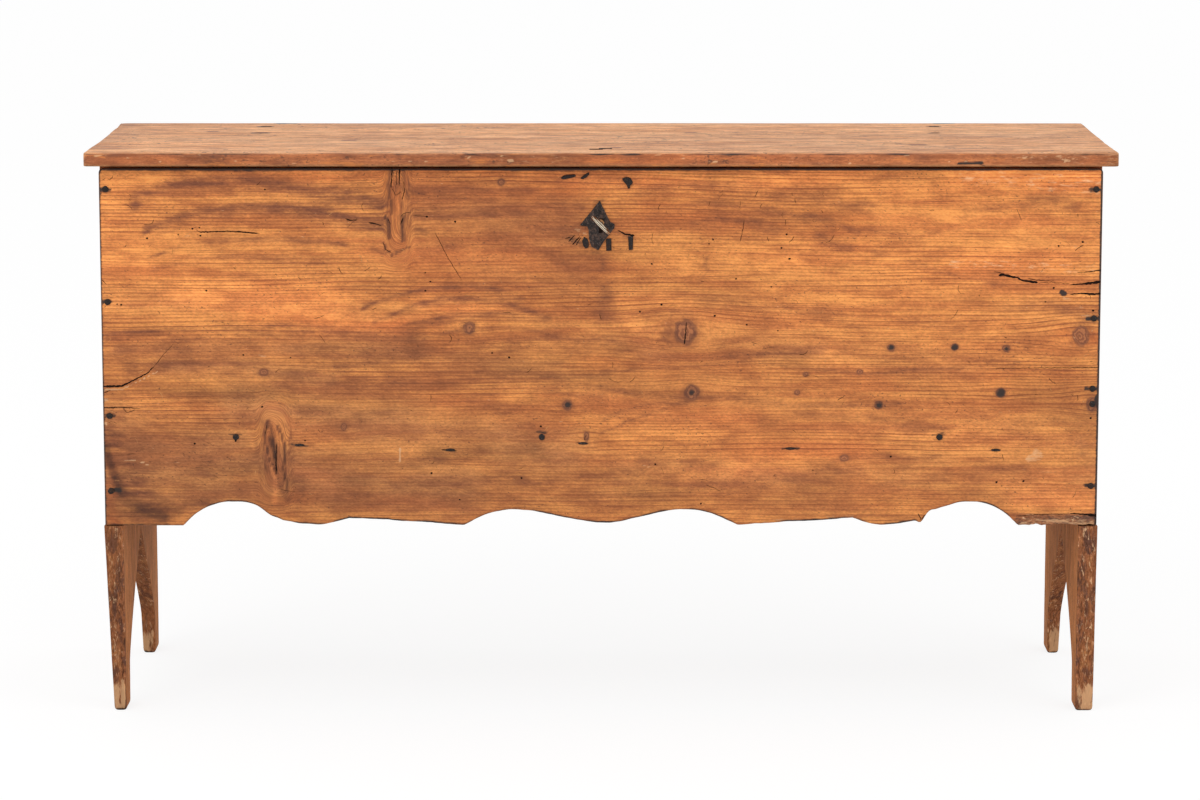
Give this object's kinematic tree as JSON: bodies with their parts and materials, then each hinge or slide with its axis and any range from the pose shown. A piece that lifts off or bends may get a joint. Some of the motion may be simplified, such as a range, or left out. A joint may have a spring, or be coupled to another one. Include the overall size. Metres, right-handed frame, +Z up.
{
  "type": "blanket chest",
  "caption": "Long low pine chest on bootjack feet, with a scalloped front board, a thin overhanging lid on strap hinges, and an iron chest lock with its key.",
  "frame": {"origin": "on the floor, under the middle of the closed chest's bounding box, which runs from the key's bow in front to the lid's back edge", "axes": "+X to the viewer's right along the chest, +Y from front to back, +Z up"},
  "size_m": [1.32, 0.4616, 0.73],
  "materials": {
    "case_pine": "worn oil and wax",
    "lid_pine": "scrubbed and dry",
    "wrought_iron": "rusted black",
    "lock_iron": "dull brown",
    "key_steel": "handled steel"
  },
  "bodies": {
    "chest": {"front_board": "case_pine", "back_board": "case_pine", "end_board_left": "case_pine", "end_board_right": "case_pine", "bottom_board": "case_pine", "front_nails": "wrought_iron", "front_bottom_nails": "wrought_iron", "clasp_nails": "wrought_iron", "back_nails": "wrought_iron", "back_bottom_nails": "wrought_iron", "hinge_leaf_left": "wrought_iron", "hinge_leaf_right": "wrought_iron", "hinge_pin_left": "wrought_iron", "hinge_pin_right": "wrought_iron", "leaf_nails": "wrought_iron", "escutcheon": "wrought_iron", "escutcheon_nails": "wrought_iron", "lock_plate": "lock_iron", "lock_cap": "lock_iron", "cap_rivets": "lock_iron", "lock_guides": "lock_iron", "bolt_spring": "lock_iron", "drill_pin": "lock_iron", "lock_nails": "wrought_iron"},
    "lid": {"lid_board": "lid_pine", "hinge_strap_left": "wrought_iron", "hinge_strap_right": "wrought_iron", "strap_nails": "wrought_iron", "lid_staple": "wrought_iron"},
    "bolt": {"lock_bolt": "lock_iron"},
    "key": {"key": "key_steel"}
  },
  "joints": [
    {"name": "lid_hinge", "type": "hinge", "parent": "chest", "child": "lid", "pos_m": [0, 0.21885, 0.715], "axis": [-1, 0, 0], "range_deg": [0, 104]},
    {"name": "key_turn", "type": "hinge", "parent": "chest", "child": "key", "pos_m": [0, -0.21515, 0.64], "axis": [0, 1, 0], "range_deg": [0, 90]},
    {"name": "bolt_slide", "type": "slide", "parent": "chest", "child": "bolt", "axis": [1, 0, 0], "range_m": [0, 0.01838]}
  ],
  "couplings": [
    {"joint": "bolt_slide", "follows": "key_turn", "m_per_rad": 0.0117}
  ]
}
